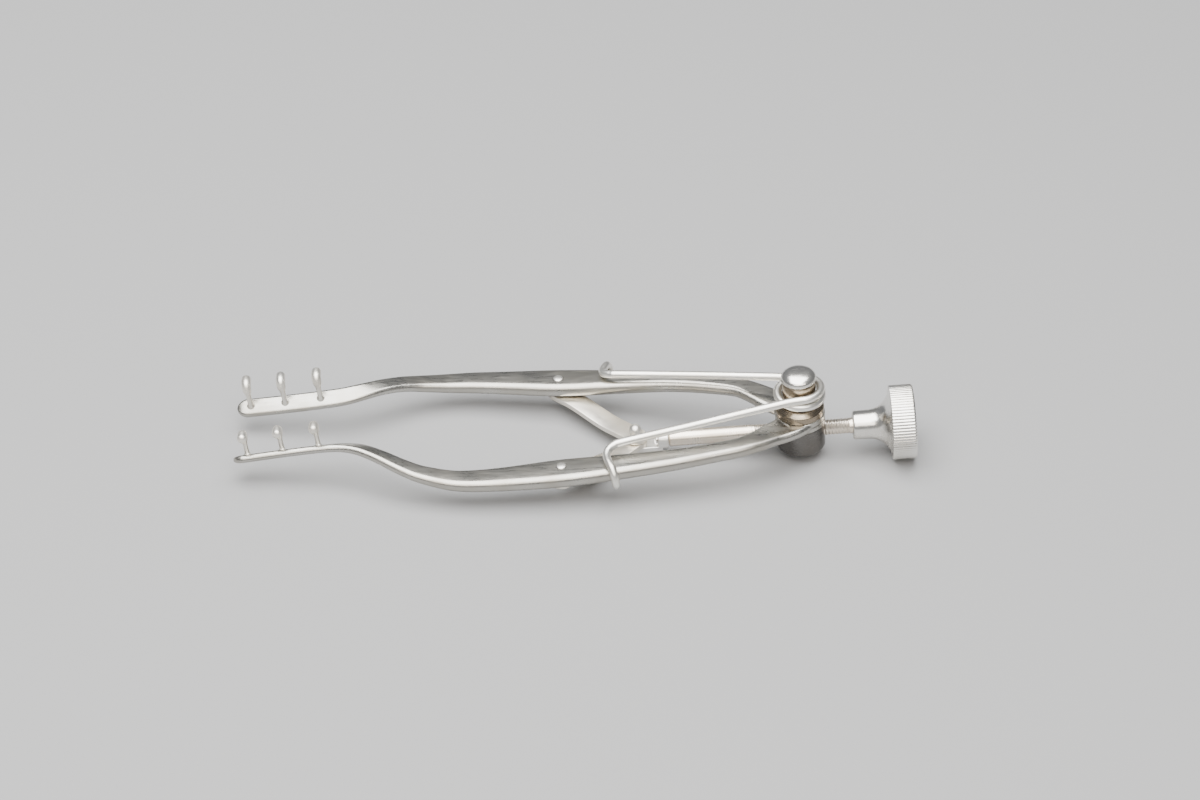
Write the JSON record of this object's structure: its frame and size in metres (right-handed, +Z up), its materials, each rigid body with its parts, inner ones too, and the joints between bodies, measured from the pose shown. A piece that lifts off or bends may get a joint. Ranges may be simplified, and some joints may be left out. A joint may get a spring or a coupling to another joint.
{
  "type": "self-retaining wound spreader",
  "caption": "Small stainless self-retaining spreader: two curved arms with blunt prongs on a post, opened by a thumb screw and toggle links against a wire spring.",
  "frame": {"origin": "on the post's axis at its flat underside, which the instrument stands on", "axes": "+X from the prongs towards the thumb wheel, +Z up along the post towards the cap screw; the left arm is on -Y and the right arm on +Y"},
  "size_m": [0.0798, 0.0224, 0.0141],
  "materials": {
    "satin_steel": "satin-polished stainless steel",
    "polished_steel": "mirror-polished stainless steel",
    "spring_steel": "bright drawn stainless spring wire"
  },
  "bodies": {
    "post": {"post": "satin_steel", "spring_sleeve": "polished_steel", "cap_screw": "polished_steel", "spring_coil": "spring_steel"},
    "left_arm": {"left_arm": "satin_steel", "left_prong_1": "polished_steel", "left_prong_2": "polished_steel", "left_prong_3": "polished_steel", "left_link_rivet": "polished_steel", "left_spring_leg": "spring_steel"},
    "right_arm": {"right_arm": "satin_steel", "right_prong_1": "polished_steel", "right_prong_2": "polished_steel", "right_prong_3": "polished_steel", "right_link_rivet": "polished_steel", "right_spring_leg": "spring_steel"},
    "left_link": {"left_link": "satin_steel"},
    "right_link": {"right_link": "satin_steel"},
    "carriage": {"toggle_block": "satin_steel", "toggle_pin": "polished_steel"},
    "screw": {"screw_rod": "polished_steel", "rod_end_ring": "polished_steel", "thumb_wheel": "polished_steel"}
  },
  "joints": [
    {"name": "carriage_slide", "type": "slide", "parent": "post", "child": "carriage", "axis": [-1, 0, 0], "range_m": [-0.00098, 0.00116]},
    {"name": "screw_turn", "type": "hinge", "parent": "carriage", "child": "screw", "pos_m": [0, 0, 0.00205], "axis": [-1, 0, 0], "range_deg": [-890, 1050]},
    {"name": "left_arm_swing", "type": "hinge", "parent": "post", "child": "left_arm", "pos_m": [0, 0, 0.00402], "axis": [0, 0, 1], "range_deg": [-3, 3.55]},
    {"name": "right_arm_swing", "type": "hinge", "parent": "post", "child": "right_arm", "pos_m": [0, 0, 0.00402], "axis": [0, 0, -1], "range_deg": [-3, 3.55]},
    {"name": "left_link_turn", "type": "hinge", "parent": "left_arm", "child": "left_link", "pos_m": [-0.02825, -0.0085, 0.0039], "axis": [0, 0, 1], "range_deg": [-6.7, 7.9]},
    {"name": "right_link_turn", "type": "hinge", "parent": "right_arm", "child": "right_link", "pos_m": [-0.02825, 0.0085, 0.0039], "axis": [0, 0, -1], "range_deg": [-6.7, 7.9]}
  ],
  "couplings": [
    {"joint": "screw_turn", "follows": "carriage_slide", "rad_per_m": 15708},
    {"joint": "left_arm_swing", "follows": "carriage_slide", "rad_per_m": 51.148},
    {"joint": "right_arm_swing", "follows": "carriage_slide", "rad_per_m": 51.148},
    {"joint": "left_link_turn", "follows": "carriage_slide", "rad_per_m": 114.58},
    {"joint": "right_link_turn", "follows": "carriage_slide", "rad_per_m": 114.58}
  ]
}
